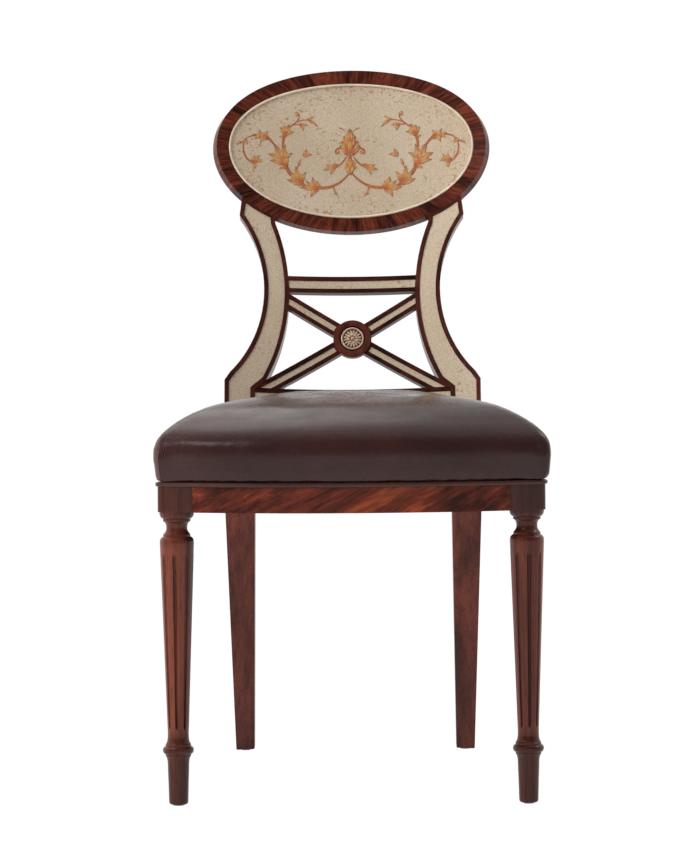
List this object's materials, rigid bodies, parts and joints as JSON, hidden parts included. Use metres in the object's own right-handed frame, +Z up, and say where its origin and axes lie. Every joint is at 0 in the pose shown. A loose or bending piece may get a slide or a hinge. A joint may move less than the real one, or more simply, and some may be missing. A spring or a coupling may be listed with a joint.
{
  "type": "dining side chair",
  "caption": "Neoclassical dining side chair with a dished oval glass back on hourglass posts, crossed bars with a rosette, fluted front legs and a leather seat.",
  "frame": {"origin": "on the floor, under the middle of the chair's bounding box", "axes": "+Z up, +X to the right of someone who looks at the chair's front, -Y out of the front"},
  "size_m": [0.5142, 0.6602, 0.9835],
  "materials": {
    "mahogany": "french polished, reddish brown",
    "rosewood": "cross-banded veneer, polished",
    "beech": "bare",
    "backing_ply": "veneered ply, polished",
    "gilded_wood": "water gilded, burnished",
    "painted_glass": "painted and silvered on the back",
    "gilded_glass": "gilded and silvered on the back",
    "brass": "polished",
    "leather": "dark brown, semi-gloss",
    "foam": "soft foam",
    "webbing": "woven jute",
    "black_cloth": "matt woven lining",
    "steel": "zinc plated",
    "nylon": "matt"
  },
  "bodies": {
    "root": {"back_lower_rail": "mahogany", "back_upper_rail": "mahogany", "centre_boss": "mahogany", "corner_block_front_left": "beech", "corner_block_front_right": "beech", "corner_block_rear_left": "beech", "corner_block_rear_right": "beech", "corner_block_screws": "steel", "cross_bar_falling": "mahogany", "cross_bar_rising": "mahogany", "cross_glass_lower_left": "gilded_glass", "cross_glass_lower_right": "gilded_glass", "cross_glass_upper_left": "gilded_glass", "cross_glass_upper_right": "gilded_glass", "dust_cover": "black_cloth", "foot_glides": "nylon", "front_leg_left": "mahogany", "front_leg_right": "mahogany", "front_seat_rail": "mahogany", "leather_cover": "leather", "lower_rail_glass": "gilded_glass", "oval_back_panel": "backing_ply", "oval_dowels": "beech", "oval_frame": "rosewood", "oval_gilt_slip": "gilded_wood", "oval_glass": "painted_glass", "oval_glass_bed": "backing_ply", "post_glass_left": "gilded_glass", "post_glass_right": "gilded_glass", "rear_post_left": "mahogany", "rear_post_right": "mahogany", "rear_seat_rail": "mahogany", "rosette": "brass", "seat_foam": "foam", "seat_webbing": "webbing", "seat_welt": "leather", "side_seat_rail_left": "mahogany", "side_seat_rail_right": "mahogany", "upper_rail_glass": "gilded_glass"}
  },
  "joints": []
}
